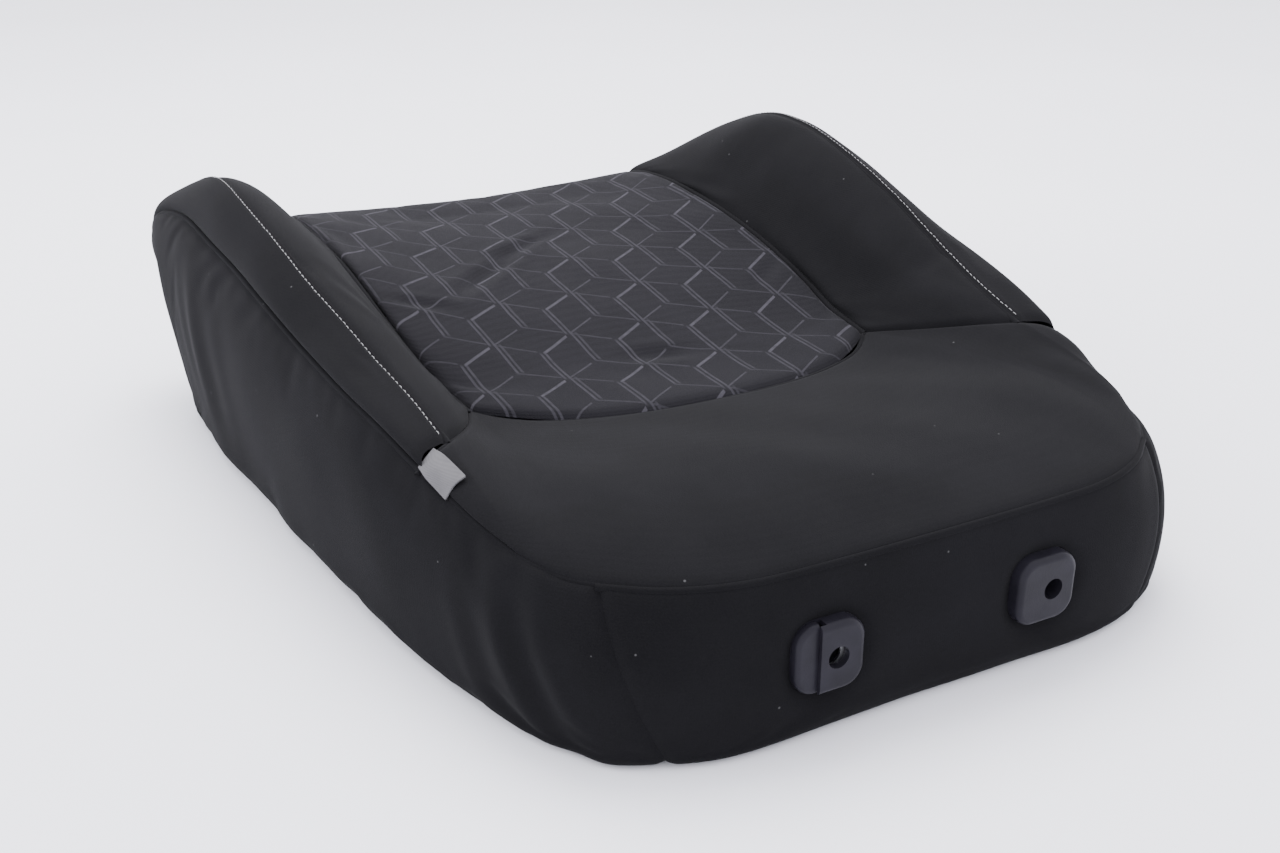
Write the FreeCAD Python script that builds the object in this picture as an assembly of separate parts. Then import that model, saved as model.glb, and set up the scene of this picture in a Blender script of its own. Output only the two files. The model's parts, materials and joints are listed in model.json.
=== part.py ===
"""Front seat backrest of a car, lying on its rear face.

+Z is the way the occupant's back faces, -Y is towards the head end, +X is the occupant's right.
The origin is the centre of the base, on the rear panel's flat face. All lengths are in millimetres.
"""

import FreeCAD
import Part
import math
import os

V = FreeCAD.Vector

# ---------------------------------------------------------------- driving dimensions
BACK_WIDTH = 540.0         # across the widest part of the bolsters
BACK_LENGTH = 679.0        # head end of the cover to the tips of the bolsters
HEAD_NARROWING = 60.0      # each side, at the head end
CORNER_R = 91.0            # plan corners at the head end
CORNER_OUT = 2.0           # how far their arcs end outside the head end's half width
FLOOR_GAP = 0.6            # cover above the rear panel's face
FABRIC = 2.2               # face cloth with its laminated backing
SEAM_GAP = 0.25            # half the gap between two cloth panels
FOAM_GAP = 0.2

SLEEVE_SPACING = 140.0
POST_BORE_R = 6.2
SHANK_R = 9.0
SHANK_LENGTH = 78.0
POST_REACH = 220.0         # room for the posts, from the head end
BEZEL_SIZE = 40.0
BEZEL_CORNER_R = 12.0
BEZEL_THICK = 9.0
BEZEL_EDGE_R = 3.5
BEZEL_SHIFT = 3.5          # bezel centre towards the lock side from its bore
BUTTON_EDGE_R = 2.8
BORE_WALL = 0.9            # plastic left between the bore and the button's pocket
BUTTON_TRAVEL = 3.0
BUTTON_STEP = 2.6          # button's face behind the bezel's front face
SLIDE_GAP = 0.3
CATCH_THICK = 1.6
CATCH_BITE = 2.0           # how far the catch reaches into the bore at rest

SHEET = 2.0                # side member and cross member steel
FLANGE = 16.0
WEB_INSET = 55.0           # side members inside the bolsters' widest part
MEMBER_BOTTOM_Z = 14.0
MEMBER_TOP_Z = 50.0
TUBE_R = 11.0
TUBE_WALL = 1.6
TUBE_BEND_R = 75.0
TUBE_FROM_HEAD = 61.0      # cross run of the tube, from the head end
WEB_HOLE_R = 8.0
WEB_MID_Z = 33.0
HOLDER_R = 12.0
HOLDER_LENGTH = 64.0
PIVOT_Y = 222.0
PIVOT_Z = 56.0
LOBE_R = 40.0              # side member's end round the recliner
DISC_R = 35.0
DISC_THICK = 7.0
DISC_GAP = 0.3
RING_WALL = 2.5
BRACKET_SHEET = 4.0
BRACKET_REACH = 62.0       # bolt holes beyond the pivot
BOLT_SPACING = 48.0
BOLT_HOLE_R = 5.25
BRACKET_EDGE = 13.0        # metal round each bolt hole
SHAFT_R = 5.0
SHAFT_CLEAR = 0.5
ARM_SHEET = 3.0
ARM_LENGTH = 34.0

PANEL_THICK = 3.0
REAR_RETURN = 34.0         # cover and foam turned under round the rear panel
PANEL_CLEAR = 1.0
CLIP_X = 150.0             # rear panel clips and tail clip strip, each side of the middle
CAVITY_TOP_Z = 51.5        # foam's rear face over the frame
MEMBER_CLEAR = 1.5
AIRBAG_LENGTH = 130.0
AIRBAG_DEPTH = 22.0
AIRBAG_WALL = 2.0
INFLATOR_R = 7.5
MAT_WIRE_R = 1.6
MAT_EDGE_R = 2.4
MAT_HALF = 120.0
MAT_WIRES = 9
LISTING_R = 1.5
LISTING_DEPTH = 15.0
HOG_RING_R = 5.0

# ---------------------------------------------------------------- worked out from those
TAIL_TIP_Y = 338.0
DRAWN_LENGTH = 679.0       # length at which the stations along Y below were drawn
DRAWN_HEAD = -235.0        # stations beyond this move whole with the head end
DRAWN_TAIL = 150.0         # stations beyond this stay with the tail


def at(y):
    """A station along Y, moved as far as the back is longer or shorter than drawn."""
    share = (DRAWN_TAIL - y) / (DRAWN_TAIL - DRAWN_HEAD)
    return y - (BACK_LENGTH - DRAWN_LENGTH) * min(max(share, 0), 1)


HALF = BACK_WIDTH / 2
HEAD_Y = TAIL_TIP_Y - BACK_LENGTH
HEAD_HALF = HALF - HEAD_NARROWING
BEZEL_FRONT_Y = HEAD_Y - BEZEL_THICK
BASE_CENTRE_Y = (BEZEL_FRONT_Y + TAIL_TIP_Y) / 2
WEB_X = HALF - WEB_INSET                       # outer face of each side member
TUBE_X = WEB_X - SHEET - TUBE_R
TUBE_Z = MEMBER_BOTTOM_Z + SHEET + TUBE_R
TUBE_Y = HEAD_Y + TUBE_FROM_HEAD
SLEEVE_X = SLEEVE_SPACING / 2
SLEEVE_Z = TUBE_Z + TUBE_R + HOLDER_R
HOLDER_Y = (TUBE_Y + TUBE_R - HOLDER_LENGTH, TUBE_Y + TUBE_R)
GEAR_X = WEB_X + DISC_THICK + DISC_GAP         # inner face of the recliner's moving disc
BRACKET_X = GEAR_X + DISC_THICK
BRACKET_SWEEP = math.hypot(BRACKET_REACH, BOLT_SPACING / 2) + BRACKET_EDGE
OPENING_TAIL_Y = 205.0
MEMBER_HEAD_Y = at(-132)
RISE_Y = at(40)                                # where the side members start to rise
TUBE_FOOT_Y = at(-40)
AIRBAG_Y = (at(-30), at(-30) + AIRBAG_LENGTH)
MAT_Y = (at(-60), at(130))

# Cross-sections of the outside: y, then for the right half as pairs of distance inside the
# widest part and height: side seam, crest, bolster flank, insert seam; last the centre's height
SECTIONS = (
    (HEAD_Y - 31, (58, 94), (80, 97), (102, 99), (130, 99), 100),
    (HEAD_Y + 41, (58, 98), (80, 103), (102, 105), (130, 106), 107),
    (HEAD_Y + 106, (56, 105), (78, 112), (100, 110), (126, 108), 107),
    (at(-150), (36, 121), (67, 127), (94, 116), (120, 103), 98),
    (at(-50), (21, 134), (57, 152), (86, 123), (116, 96), 94),
    (at(60), (10, 145), (45, 182), (78, 151), (112, 115), 103),
    (160, (3, 154), (37, 199), (72, 172), (109, 132), 113),
    (250, (0, 158), (34, 196), (70, 172), (108, 136), 119),
    (360, (0, 158), (34, 190), (70, 166), (108, 132), 116),
)
# Side view of the tail, from the floor over the tip to the crest
TAIL_PROFILE = ((246, 0), (252, 55), (282, 86), (325, 98), (TAIL_TIP_Y, 114), (325, 132),
                (270, 162), (215, 186), (150, 212), (60, 225))
# Side seam in side view: front trim above it, facing below it
SIDE_SEAM = ((HEAD_Y - 39, 98), (HEAD_Y + 41, 99), (HEAD_Y + 91, 101), (HEAD_Y + 136, 110),
             (at(-170), 119), (at(-80), 130), (at(40), 141), (160, 151), (300, 158), (420, 160))
# Seams in plan: distance inside the widest part, y
INSERT_SEAM = ((120, at(-62)), (115, at(-10)), (112, at(57)), (109, 150), (108, 400))
CREST_SEAM = ((69, at(-163)), (62, at(-95)), (53, at(-17)), (44, at(60)), (37, 160), (34, 400))
BOLSTER_HEAD = (38, at(-190))
INSERT_BOW = (35, 52)      # insert's head seam bowed up at the quarter points and the middle
CORE_OUTLINE = ((90, HEAD_Y + 21), (85, at(-180)), (65, at(0)), (60, 400))
CORE_Z = 60.0
END_SEAM_X = 176.0         # vertical seams at the ends of the end facing


# ---------------------------------------------------------------- small helpers
def box(x0, x1, y0, y1, z0, z1):
    return Part.makeBox(x1 - x0, y1 - y0, z1 - z0, V(x0, y0, z0))


def rod(start, end, r):
    a, b = V(*start), V(*end)
    return Part.makeCylinder(r, (b - a).Length, a, b - a)


def tube(start, end, r_out, r_in):
    return rod(start, end, r_out).cut(rod(start, end, r_in))


def union(shapes):
    return shapes[0].multiFuse(shapes[1:]).removeSplitter()


def mirrored(shape):
    """The same shape on the other side of the backrest."""
    return shape.mirror(V(0, 0, 0), V(1, 0, 0))


def both(shape):
    return shape.fuse(mirrored(shape))


def from_side(points):
    """Plan points given as distance inside the widest part, on the occupant's right."""
    return [(HALF - inside, y) for inside, y in points]


def spline(points):
    curve = Part.BSplineCurve()
    curve.interpolate([V(*p) for p in points])
    return curve.toShape()


def line(a, b):
    return Part.makeLine(V(*a), V(*b))


def yz_plate(edges_face, x0, x1):
    """Extrudes a face drawn at x = 0 in the YZ plane between two x values."""
    face = edges_face.copy()
    face.translate(V(x0, 0, 0))
    return face.extrude(V(x1 - x0, 0, 0))


def polygon_yz(points):
    closed = [V(0, y, z) for y, z in points]
    return Part.Face(Part.makePolygon(closed + closed[:1]))


def rounded_plate(size, corner_r, y0, y1, cx, cz):
    """A rounded square plate facing along Y."""
    half = size / 2
    plate = box(cx - half, cx + half, y0, y1, cz - half, cz + half)
    along_y = [e for e in plate.Edges if abs(e.tangentAt(e.FirstParameter).y) > 0.9]
    return plate.makeFillet(corner_r, along_y)


def save(name, shape):
    """Writes one sub-part, as one solid or as a group of separate solids."""
    solids = shape.Solids
    if not solids or not all(s.isValid() and s.Volume > 0 for s in solids):
        raise RuntimeError(f"{name} is not a closed solid")
    out = solids[0].copy() if len(solids) == 1 else Part.makeCompound(solids)
    out.translate(V(0, -BASE_CENTRE_Y, 0))
    out.exportStep(os.path.join("parts", name + ".step"))
    print(f"{name:26s} {len(solids):3d} solids {out.Volume / 1000:9.1f} cm3")


# ---------------------------------------------------------------- upholstered form
def cross_section(row, inset):
    y, side, crest, flank, seam, centre_z = row
    half = HALF - side[0] - inset
    crest_x = HALF - crest[0]
    seam_x = HALF - seam[0]
    shoulder = (crest_x + (half - crest_x) * 0.35, (crest[1] * 2 + side[1]) / 3 + 3 - inset)
    right = [(half, side[1] - inset), shoulder, (crest_x - inset * 0.5, crest[1] - inset),
             (HALF - flank[0], flank[1] - inset), (seam_x, seam[1] - inset),
             (seam_x * 0.5, centre_z + (seam[1] - centre_z) * 0.22 - inset)]
    points = [(-x, y, z) for x, z in right] + [(0, y, centre_z - inset)]
    points += [(x, y, z) for x, z in right[::-1]]
    low = FLOOR_GAP + inset
    return Part.Wire([spline(points), line(points[-1], (half, y, low)),
                      line((half, y, low), (-half, y, low)), line((-half, y, low), points[0])])


def corner_arc(cx, cy, r):
    k = r * math.sqrt(0.5)
    return Part.Arc(V(cx, cy - r, 0), V(cx + k, cy - k, 0), V(cx + r, cy, 0)).toShape()


def plan_prism(inset):
    """Rounds the two corners at the head end and leaves the rest wide open."""
    cx, cy = HEAD_HALF + CORNER_OUT - CORNER_R, HEAD_Y + CORNER_R
    r = CORNER_R - inset
    wide, far = HALF + 50, TAIL_TIP_Y + 160
    right = [line((0, cy - r, 0), (cx, cy - r, 0)), corner_arc(cx, cy, r),
             line((cx + r, cy, 0), (cx + r, cy + 1, 0)), line((cx + r, cy + 1, 0), (wide, cy + 1, 0)),
             line((wide, cy + 1, 0), (wide, far, 0)), line((wide, far, 0), (0, far, 0))]
    face = Part.Face(Part.Wire(Part.__sortEdges__(right + [mirrored(e) for e in right])))
    face.translate(V(0, 0, -20))
    return face.extrude(V(0, 0, 300))


def side_prism(inset):
    """Side view of the whole backrest, run across its width."""
    wide = HALF + 60
    tail = [(-wide, y - inset, z) for y, z in TAIL_PROFILE]
    head = HEAD_Y - 60
    edges = [spline(tail), line(tail[-1], (-wide, head, tail[-1][2])),
             line((-wide, head, tail[-1][2]), (-wide, head, -10)),
             line((-wide, head, -10), (-wide, tail[0][1], -10)),
             line((-wide, tail[0][1], -10), tail[0])]
    return Part.Face(Part.Wire(edges)).extrude(V(2 * wide, 0, 0))


def upholstered_form(inset):
    body = Part.makeLoft([cross_section(row, inset) for row in SECTIONS], True, False)
    return body.common(plan_prism(inset)).common(side_prism(inset))


# ---------------------------------------------------------------- cover regions
def plan_region(outline):
    """A tall prism over a closed plan outline; each entry is a curve's or a line's points."""
    edges = []
    for points in outline:
        flat = [(x, y, 0) for x, y in points]
        edges.append(spline(flat) if len(flat) > 2 else line(*flat))
    face = Part.Face(Part.Wire(edges))
    face.translate(V(0, 0, -20))
    return face.extrude(V(0, 0, 300))


def above_side_seam(gap):
    wide, top = HALF + 60, 400
    seam = [(-wide, y, z + gap) for y, z in SIDE_SEAM]
    edges = [spline(seam), line(seam[-1], (-wide, seam[-1][1], top)),
             line((-wide, seam[-1][1], top), (-wide, seam[0][1], top)),
             line((-wide, seam[0][1], top), seam[0])]
    return Part.Face(Part.Wire(edges)).extrude(V(2 * wide, 0, 0))


def front_zone(gap):
    """Where the front trim lies: above the side seam, or inside the core of the plan."""
    right = from_side(CORE_OUTLINE)
    points = [V(x - gap, y + gap, CORE_Z + gap) for x, y in right]
    points += [V(-x + gap, y + gap, CORE_Z + gap) for x, y in right[::-1]]
    core = Part.Face(Part.makePolygon(points + points[:1])).extrude(V(0, 0, 300))
    return above_side_seam(gap).fuse(core)


def insert_region(gap):
    right = [(x - gap, y) for x, y in from_side(INSERT_SEAM)]
    left = [(-x, y) for x, y in right]
    x0, y0 = right[0]
    head = [left[0], (-x0 * 0.7, y0 - INSERT_BOW[0] + gap), (0, y0 - INSERT_BOW[1] + gap),
            (x0 * 0.7, y0 - INSERT_BOW[0] + gap), right[0]]
    return plan_region([head, right, (right[-1], left[-1]), left[::-1]])


def bolster_inner_region(gap):
    inner = [(x + gap, y) for x, y in from_side(INSERT_SEAM)]
    outer = [(x - gap, y) for x, y in from_side(CREST_SEAM)]
    return plan_region([(inner[0], outer[0]), outer, (outer[-1], inner[-1]), inner[::-1]])


def bolster_outer_region(gap):
    inner = [(x + gap, y) for x, y in from_side(CREST_SEAM)]
    head = from_side([BOLSTER_HEAD])[0]
    wide, far = HALF + 50, inner[-1][1]
    return plan_region([(inner[0], head), (head, (wide, head[1] - 30)),
                        ((wide, head[1] - 30), (wide, far)), ((wide, far), inner[-1]),
                        inner[::-1]])


def tag():
    """Grey woven label sewn into the left side seam beside the airbag bolster's head."""
    x = HALF - 43
    y = at(-187)
    plate = Part.makeBox(0.8, 30, 18, V(-x - 0.4, y - 15, 103))
    plate.rotate(V(-x, y, 112), V(0, 0, 1), 10)
    return plate


def sleeve_passages(r):
    """Both holes from the head end to where the head restraint's posts reach."""
    return both(rod((SLEEVE_X, HEAD_Y - 5, SLEEVE_Z), (SLEEVE_X, HEAD_Y + POST_REACH, SLEEVE_Z), r))


def recliner_gaps():
    """Gaps in foam and cover round each recliner and where its bracket swings."""
    x0, x1 = BRACKET_X - DISC_THICK, BRACKET_X + BRACKET_SHEET + MEMBER_CLEAR
    sweep = rod((x0, PIVOT_Y, PIVOT_Z), (x1, PIVOT_Y, PIVOT_Z), BRACKET_SWEEP + 2)
    slot = sweep.common(box(x0, x1, PIVOT_Y - LOBE_R, 600, -60, 300))
    round_r = max(LOBE_R, DISC_R + RING_WALL) + MEMBER_CLEAR
    hub = rod((WEB_X - SHEET - MEMBER_CLEAR, PIVOT_Y, PIVOT_Z), (x1, PIVOT_Y, PIVOT_Z), round_r)
    return both(union([slot, hub]))


def rear_outline(grow):
    """Face inside the turned-under edge of the cover, where the rear panel sits."""
    near = HEAD_Y + REAR_RETURN - grow
    r = CORNER_R - REAR_RETURN + grow
    cx, cy = HEAD_HALF + CORNER_OUT - CORNER_R, HEAD_Y + CORNER_R
    tail = OPENING_TAIL_Y + grow
    far_x = HALF - 36 + grow
    points = [(cx + r, cy), (HALF - 79 + grow, at(-150)), (far_x, at(60)), (far_x, tail), (0, tail)]
    right = [line((0, near, 0), (cx, near, 0)), corner_arc(cx, cy, r)]
    right += [line((*a, 0), (*b, 0)) for a, b in zip(points, points[1:])]
    return Part.Face(Part.Wire(Part.__sortEdges__(right + [mirrored(e) for e in right])))


def make_cover(outer):
    shell = outer.cut(upholstered_form(FABRIC))
    opening = rear_outline(PANEL_CLEAR)
    opening.translate(V(0, 0, -5))
    shell = shell.cut(opening.extrude(V(0, 0, 5 + FLOOR_GAP + FABRIC + 0.5)))
    shell = shell.cut(recliner_gaps()).cut(sleeve_passages(SHANK_R + SLIDE_GAP))
    front = shell.common(front_zone(SEAM_GAP))
    facing = shell.cut(front_zone(0.0))

    insert = front.common(insert_region(SEAM_GAP))
    save("insert_panel", insert)
    inner = front.common(bolster_inner_region(SEAM_GAP))
    outside = front.common(bolster_outer_region(SEAM_GAP))
    save("bolster_inner_right", inner)
    save("bolster_inner_left", mirrored(inner))
    save("bolster_outer_right", outside)
    save("bolster_outer_left", mirrored(outside))
    rest = front.cut(insert_region(0.0)).cut(both(bolster_outer_region(0.0)))
    for gap, shift in ((SEAM_GAP, 0.0), (SEAM_GAP, -SEAM_GAP), (-SEAM_GAP, -SEAM_GAP)):
        beside = bolster_inner_region(gap)
        beside.translate(V(0, shift, 0))
        rest = rest.cut(both(beside))
    save("head_panel", Part.makeCompound([s for s in rest.Solids if s.Volume > 5000]))

    end_x = END_SEAM_X
    end_zone = box(-end_x, end_x, HEAD_Y - 50, HEAD_Y + CORNER_R, -20, 200)
    tail_zone = box(-WEB_X, WEB_X, 190, 500, -20, 200)
    save("end_facing", facing.common(end_zone))
    save("tail_flap", facing.common(tail_zone))
    gap = SEAM_GAP
    sides = facing.cut(box(-end_x - gap, end_x + gap, HEAD_Y - 50, HEAD_Y + CORNER_R + gap, -20, 200))
    sides = sides.cut(box(-WEB_X - gap, WEB_X + gap, 190 - gap, 500, -20, 200))
    right = sides.common(box(0, 400, -500, 500, -20, 300))
    save("side_facing_right", Part.makeCompound([s for s in right.Solids if s.Volume > 5000]))
    left = mirrored(right)
    save("side_facing_left", Part.makeCompound([s for s in left.Solids if s.Volume > 5000]))
    save("airbag_tag", tag().cut(outer))


# ---------------------------------------------------------------- foam, listing wires
def listing_line():
    """Straight wire under the right insert seam, inside the foam."""
    start, end = from_side([INSERT_SEAM[0], INSERT_SEAM[3]])
    return ((start[0], start[1], 96 - LISTING_DEPTH), (end[0], end[1], 131 - LISTING_DEPTH))


def hog_rings(wire_r):
    a, b = (V(*p) for p in listing_line())
    along = (b - a).normalize()
    rings = [Part.makeTorus(HOG_RING_R, wire_r, a + (b - a) * share, along)
             for share in (0.08, 0.36, 0.64, 0.92)]
    return both(Part.makeCompound(rings))


def frame_cavity():
    """Open space behind the foam, for the frame."""
    side = WEB_X + MEMBER_CLEAR
    cx = HEAD_HALF - 36
    points = [(0, HEAD_Y + 40), (cx - 40, HEAD_Y + 40), (cx, HEAD_Y + 85), (TUBE_X + TUBE_R + 1, at(-200)),
              (side, at(-140)), (side, OPENING_TAIL_Y + 60), (0, OPENING_TAIL_Y + 60)]
    right = [line((*a, -10), (*b, -10)) for a, b in zip(points, points[1:])]
    face = Part.Face(Part.Wire(Part.__sortEdges__(right + [mirrored(e) for e in right])))
    return face.extrude(V(0, 0, 10 + CAVITY_TOP_Z))


def make_foam():
    foam = upholstered_form(FABRIC + FOAM_GAP)
    side = WEB_X + MEMBER_CLEAR
    recliner = box(WEB_X - FLANGE - 4, BRACKET_X + 1, RISE_Y - 10, PIVOT_Y + LOBE_R + 4, -20,
                   PIVOT_Z + LOBE_R + 3)
    airbag = box(-side - AIRBAG_DEPTH, -side + 2, AIRBAG_Y[0] - 2, AIRBAG_Y[1] + 2, -20,
                 MEMBER_TOP_Z + 2)
    tube_bends = both(tube_path_solid(TUBE_R + 1.0))
    holders = sleeve_passages(HOLDER_R + 0.6)
    shaft = rod((-BRACKET_X, PIVOT_Y, PIVOT_Z), (BRACKET_X, PIVOT_Y, PIVOT_Z), SHAFT_R + 3)
    for hollow in (frame_cavity(), both(recliner), airbag, tube_bends, holders, recliner_gaps(),
                   shaft, both(rod(*listing_line(), LISTING_R + 0.4)), hog_rings(1.3)):
        foam = foam.cut(hollow)
    save("foam_pad", max(foam.Solids, key=lambda s: s.Volume))
    save("listing_wires", both(rod(*listing_line(), LISTING_R)))
    save("hog_rings", hog_rings(0.9))


# ---------------------------------------------------------------- rear panel and tail clip
def make_rear_panel():
    plate = rear_outline(0.0).extrude(V(0, 0, PANEL_THICK))
    edge = [e for e in plate.Edges if e.BoundBox.ZMax < 0.01]
    plate = plate.makeChamfer(1.0, edge)
    save("rear_panel", plate)
    clips = []
    for x in (-CLIP_X, 0, CLIP_X):
        for y in (at(-230), at(60)):
            post = rod((x, y, PANEL_THICK), (x, y, PANEL_THICK + 9), 4)
            clips.append(post.fuse(rod((x, y, PANEL_THICK + 3), (x, y, PANEL_THICK + 5), 8)))
    save("rear_panel_clips", Part.makeCompound(clips))
    y1 = OPENING_TAIL_Y
    strip = box(-CLIP_X, CLIP_X, y1 - 14, y1 - 11, PANEL_THICK, PANEL_THICK + 8)
    foot = box(-CLIP_X, CLIP_X, y1 - 14, y1 - 5, PANEL_THICK, PANEL_THICK + 2)
    save("tail_clip_strip", union([strip, foot]))


# ---------------------------------------------------------------- steel frame
def side_member():
    """Flanged sheet with a round end about the recliner's pivot."""
    low_z, high_z = MEMBER_BOTTOM_Z, MEMBER_TOP_Z
    outline = polygon_yz([(MEMBER_HEAD_Y, low_z), (PIVOT_Y, low_z), (PIVOT_Y, PIVOT_Z + LOBE_R),
                          (PIVOT_Y - 80, high_z + 20), (RISE_Y, high_z), (MEMBER_HEAD_Y, high_z)])
    web = yz_plate(outline, WEB_X - SHEET, WEB_X)
    lobe = rod((WEB_X - SHEET, PIVOT_Y, PIVOT_Z), (WEB_X, PIVOT_Y, PIVOT_Z), LOBE_R)
    inner = WEB_X - FLANGE
    low = box(inner, WEB_X, MEMBER_HEAD_Y, PIVOT_Y - 30, MEMBER_BOTTOM_Z, MEMBER_BOTTOM_Z + SHEET)
    high = box(inner, WEB_X, MEMBER_HEAD_Y, RISE_Y, MEMBER_TOP_Z - SHEET, MEMBER_TOP_Z)
    member = union([web, lobe, low, high])
    shaft = rod((WEB_X - 10, PIVOT_Y, PIVOT_Z), (WEB_X + 10, PIVOT_Y, PIVOT_Z), SHAFT_R + SHAFT_CLEAR)
    for y in (at(-70), at(20), at(100)):
        member = member.cut(rod((WEB_X - 5, y, WEB_MID_Z), (WEB_X + 5, y, WEB_MID_Z), WEB_HOLE_R))
    return member.cut(shaft)


def tube_path_solid(r):
    """Right half of the frame's bent tube, as a solid rod of radius r."""
    bend_y = TUBE_Y + TUBE_BEND_R
    bend_x = TUBE_X - TUBE_BEND_R
    cross = rod((0, TUBE_Y, TUBE_Z), (bend_x, TUBE_Y, TUBE_Z), r)
    leg = rod((TUBE_X, bend_y, TUBE_Z), (TUBE_X, TUBE_FOOT_Y, TUBE_Z), r)
    ring = Part.makeTorus(TUBE_BEND_R, r, V(bend_x, bend_y, TUBE_Z), V(0, 0, 1))
    quarter = ring.common(box(bend_x, TUBE_X + 50, TUBE_Y - 50, bend_y, 0, 100))
    return union([cross, quarter, leg])


def make_frame():
    member = side_member()
    save("side_member_right", member)
    save("side_member_left", mirrored(member))
    solid = union([tube_path_solid(TUBE_R), mirrored(tube_path_solid(TUBE_R))])
    hollow = union([tube_path_solid(TUBE_R - TUBE_WALL), mirrored(tube_path_solid(TUBE_R - TUBE_WALL))])
    save("upper_tube_frame", solid.cut(hollow))
    holder = tube((SLEEVE_X, HOLDER_Y[0], SLEEVE_Z), (SLEEVE_X, HOLDER_Y[1], SLEEVE_Z),
                  HOLDER_R, SHANK_R + SLIDE_GAP)
    save("headrest_holder_right", holder)
    save("headrest_holder_left", mirrored(holder))
    half = WEB_X - SHEET
    y0, y1, low = PIVOT_Y - 72, PIVOT_Y - 32, MEMBER_BOTTOM_Z + SHEET
    beam = union([box(-half, half, y0, y1, low, low + SHEET),
                  box(-half, half, y0, y0 + SHEET, low, low + 28),
                  box(-half, half, y1 - SHEET, y1, low, low + 28)])
    save("lower_cross_member", beam)


def make_suspension():
    z = MEMBER_TOP_Z - SHEET - MAT_WIRE_R - 4
    y0, y1 = MAT_Y
    wires = [rod((s * MAT_HALF, y0 - 12, z), (s * MAT_HALF, y1 + 12, z), MAT_EDGE_R) for s in (-1, 1)]
    for n in range(MAT_WIRES):
        y = y0 + (y1 - y0) * n / (MAT_WIRES - 1)
        wires.append(rod((-MAT_HALF, y, z), (MAT_HALF, y, z), MAT_WIRE_R))
    save("suspension_mat", union(wires))
    hooks = []
    for y in (y0 + 30, y1 - 50):
        reach = rod((MAT_HALF + MAT_EDGE_R, y, z), (WEB_X - SHEET, y, z), MAT_WIRE_R)
        hooks.append(both(reach))
    save("mat_hooks", Part.makeCompound([s for h in hooks for s in h.Solids]))


# ---------------------------------------------------------------- head restraint sleeves
def sleeve(x, bezel_x, window):
    """Bezel and shank of one sleeve; window is cut out for the lock, where there is one."""
    bezel = rounded_plate(BEZEL_SIZE, BEZEL_CORNER_R, BEZEL_FRONT_Y, HEAD_Y, bezel_x, SLEEVE_Z)
    front = [e for e in bezel.Edges if e.BoundBox.YMax < BEZEL_FRONT_Y + 0.01]
    bezel = bezel.makeFillet(BEZEL_EDGE_R, front)
    shank = rod((x, HEAD_Y, SLEEVE_Z), (x, HEAD_Y + SHANK_LENGTH, SLEEVE_Z), SHANK_R)
    body = union([bezel, shank])
    body = body.cut(rod((x, BEZEL_FRONT_Y - 1, SLEEVE_Z), (x, HEAD_Y + SHANK_LENGTH + 1, SLEEVE_Z),
                        POST_BORE_R))
    return body.cut(window) if window else body


def coil(x0, x1, y, z, mean_r, wire_r, turns):
    """A compression spring along X."""
    pitch = (x1 - x0) / turns
    path = Part.Wire(Part.makeHelix(pitch, x1 - x0, mean_r))
    ring = Part.Wire(Part.makeCircle(wire_r, V(mean_r, 0, 0), V(0, 1, pitch / (2 * math.pi * mean_r))))
    spring = path.makePipeShell([ring], True, True)
    spring.rotate(V(0, 0, 0), V(0, 1, 0), 90)
    spring.translate(V(x0, y, z))
    return spring


def make_sleeves():
    save("guide_sleeve_right", sleeve(SLEEVE_X, SLEEVE_X - BEZEL_SHIFT, None))
    x = -SLEEVE_X
    bezel_x = x - BEZEL_SHIFT
    left = bezel_x - BEZEL_SIZE / 2
    face = BEZEL_FRONT_Y + BUTTON_STEP
    back = HEAD_Y - 1.2
    catch_y0, catch_y1 = face + 2.4, face + 2.4 + CATCH_THICK
    z0, z1 = SLEEVE_Z - BEZEL_SIZE, SLEEVE_Z + BEZEL_SIZE
    pocket_end = x - POST_BORE_R - BORE_WALL
    button_end = pocket_end - BUTTON_TRAVEL - SLIDE_GAP
    lip = button_end - SLIDE_GAP
    catch_half = POST_BORE_R + 3.5
    catch_end = x + POST_BORE_R + 3.0
    spring_end = catch_end + BUTTON_TRAVEL + 3.2
    window = union([
        box(left - 5, lip, BEZEL_FRONT_Y - 5, back, z0, z1),
        box(lip - 1, pocket_end, face - SLIDE_GAP, back, z0, z1),
        box(lip - 1, spring_end, catch_y0 - SLIDE_GAP, catch_y1 + SLIDE_GAP,
            SLEEVE_Z - catch_half - SLIDE_GAP, SLEEVE_Z + catch_half + SLIDE_GAP)])
    save("guide_sleeve_left", sleeve(x, bezel_x, window))

    cap = rounded_plate(BEZEL_SIZE, BEZEL_CORNER_R, face, back - SLIDE_GAP, bezel_x, SLEEVE_Z)
    cap = cap.makeFillet(BUTTON_EDGE_R, [e for e in cap.Edges if e.BoundBox.YMax < face + 0.01])
    button = cap.common(box(left - 1, button_end, -500, 0, z0, z1))
    plate = box(button_end - 4, catch_end, catch_y0, catch_y1,
                SLEEVE_Z - catch_half, SLEEVE_Z + catch_half)
    hole_r = POST_BORE_R + 0.6
    hole_x = x + POST_BORE_R - CATCH_BITE - hole_r
    plate = plate.cut(rod((hole_x, -500, SLEEVE_Z), (hole_x, 0, SLEEVE_Z), hole_r))
    save("lock_button", button.cut(plate))
    save("lock_catch", plate)
    mid_y = (catch_y0 + catch_y1) / 2
    save("lock_spring", coil(catch_end + 0.3, spring_end - 0.3, mid_y, SLEEVE_Z, 0.7, 0.18, 6))


# ---------------------------------------------------------------- recliners
def disc(x0, x1, r):
    return tube((x0, PIVOT_Y, PIVOT_Z), (x1, PIVOT_Y, PIVOT_Z), r, SHAFT_R + SHAFT_CLEAR)


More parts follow.
